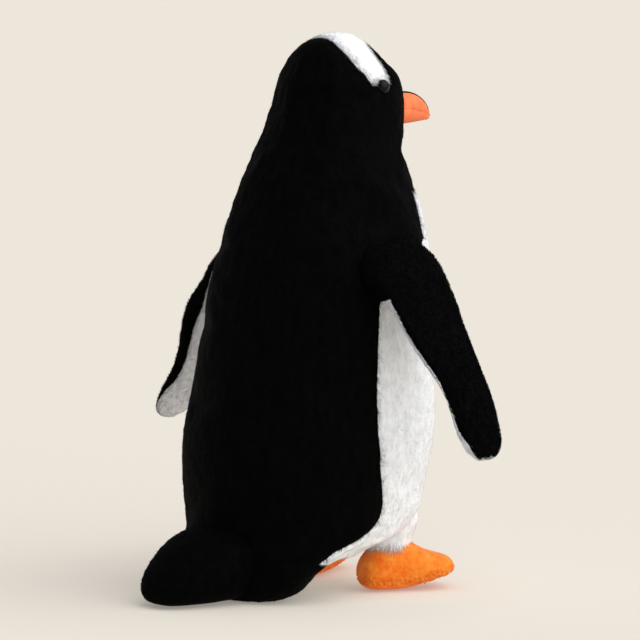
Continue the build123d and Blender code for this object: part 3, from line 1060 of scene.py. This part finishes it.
def mouth_side(p):
    """Positive above the line between the halves."""
    p = np.asarray(p)
    line = beak_middle + np.interp(base_y - p[..., 1], MOUTH_LINE[:, 0], MOUTH_LINE[:, 1])
    return p[..., 2] - line + 1e-7


beak_verts, beak_faces = ring_grid(beak_rings(64))
beak_halves = split_panels(beak_verts, beak_faces, [mouth_side], lambda p: mouth_side(p) > 0, 0.5 * MM)


MOUTH_DEPTH = 0.5 * MM
MOUTH_REACH = 1.0 * MM


def mouth_valley(p):
    return MOUTH_DEPTH * np.exp(-((mouth_side(p) / MOUTH_REACH) ** 2))


for upper, node in ((True, "beak_upper"), (False, "beak_lower")):
    beak_co, faces, turned, shown = beak_halves[upper]
    piece = new_piece(node + "_knit", beak_co, faces, beak_knit, turned, shown)
    relief(piece, 0.2, 0.06, mouth_valley)
    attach(piece, "head")
    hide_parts(node)
    if upper:
        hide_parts("beak_stuffing")

# %% Dark felt ridge along the top of the beak
ridge_rows = smooth_rows([tuple(v * MM for v in row) for row in BEAK], 0.7 * MM)
RIDGE_HALF = 1.9 * MM
RIDGE_THICK = 1.0 * MM
RIDGE_SUNK = 0.25 * MM
HIDDEN_ROWS = 10  # rows of the beak that lie inside the face
q = np.arange(16) * 2 * math.pi / 16
rings = []
for f, wide, top, low in ridge_rows[HIDDEN_ROWS:]:
    x = min(RIDGE_HALF, 0.7 * wide) * np.cos(q)
    z = beak_middle + top - RIDGE_SUNK + RIDGE_THICK * np.sin(q)
    rings.append(np.stack([x, np.full(len(q), base_y - f), z], 1))
ridge = new_piece("beak_ridge_felt", *ring_grid(rings), ridge_felt)
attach(ridge, "head")
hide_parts("beak_ridge")

# %% [markdown]
# ## Eyes
# The CAD beads stay where they are, but a moulded bead is rounder and has a fine rim, so each is replaced
# by a turned form with many facets. The lock washers inside keep their CAD shape and get a nylon finish.

# %% Eyes
BEAD = [  # along the post from inside the fabric outwards, radius, in millimetres
    (-2.2, 1.4), (-1.2, 1.6), (-1.0, 3.6), (-0.6, 4.2), (0.0, 4.4), (1.0, 4.3), (2.0, 3.9), (2.9, 3.1),
    (3.5, 2.1), (3.8, 1.1), (3.9, 0.4),
]
EYE_SIDE = 32.6 * MM  # where the bead's middle sits on the fabric
for side, hand in ((1, "left"), (-1, "right")):
    low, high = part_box("eye_" + hand)
    centre = (low + high) / 2
    centre.x = side * EYE_SIDE
    out = Vector((side * 0.955, -0.21, 0.21)).normalized()
    level = Vector((0, 0, 1)).cross(out).normalized()
    upright = out.cross(level)
    rings = []
    for along, radius in smooth_rows([tuple(v * MM for v in row) for row in BEAD], 0.25 * MM):
        q = np.arange(48) * 2 * math.pi / 48
        spoke = np.outer(np.cos(q), level) + np.outer(np.sin(q), upright)
        rings.append(np.array(centre + out * along) + radius * spoke)
    eye = new_piece(f"eye_{hand}_bead", *ring_grid(rings), eye_acrylic)
    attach(eye, "head")
    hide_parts("eye_" + hand)
    washer = frame["nodes"]["eye_washer_" + hand]
    for held in washer.material_slots:
        held.material = washer_nylon

# %% [markdown]
# ## Studio
# A pale warm floor that runs out of sight, an even pale sky, and one broad light from high on the right.
# The floor glows a little itself, so that the shadows on it stay light.

# %% Floor
floor_paint = bpy.data.materials.new("pale_matt_floor")
floor_paint.use_nodes = True
matt = floor_paint.node_tree.nodes["Principled BSDF"]
matt.inputs["Base Color"].default_value = linear("#C9C1B5")
matt.inputs["Roughness"].default_value = 1.0
matt.inputs["Specular IOR Level"].default_value = 0.0
matt.inputs["Emission Color"].default_value = linear("#EDE5DA")
matt.inputs["Emission Strength"].default_value = 0.3
FLOOR_RADIUS = 80
q = np.arange(64) * 2 * math.pi / 64
floor_verts = np.stack([FLOOR_RADIUS * np.cos(q), FLOOR_RADIUS * np.sin(q), 0 * q], 1)
floor = new_piece("pale_floor", floor_verts, [list(range(64))], floor_paint)

# %% Sky and key light
world = bpy.data.worlds.new("pale_sky")
world.use_nodes = True
world.node_tree.nodes["Background"].inputs["Color"].default_value = linear("#F0F5FC")
world.node_tree.nodes["Background"].inputs["Strength"].default_value = 0.5
bpy.context.scene.world = world
flat_to_camera = Vector((to_camera.x, to_camera.y, 0)).normalized()
light_way = (to_right * 0.6 + flat_to_camera * 0.35 + Vector((0, 0, 0.72))).normalized()
key = bpy.data.lights.new("key_light", "SUN")
key.energy = 2.6
key.angle = math.radians(90)
key.color = (0.98, 0.99, 1.0)
lamp = bpy.data.objects.new("key_light", key)
lamp.rotation_euler = light_way.to_track_quat("Z", "Y").to_euler()
bpy.context.scene.collection.objects.link(lamp)
bpy.context.scene.view_settings.view_transform = "Standard"
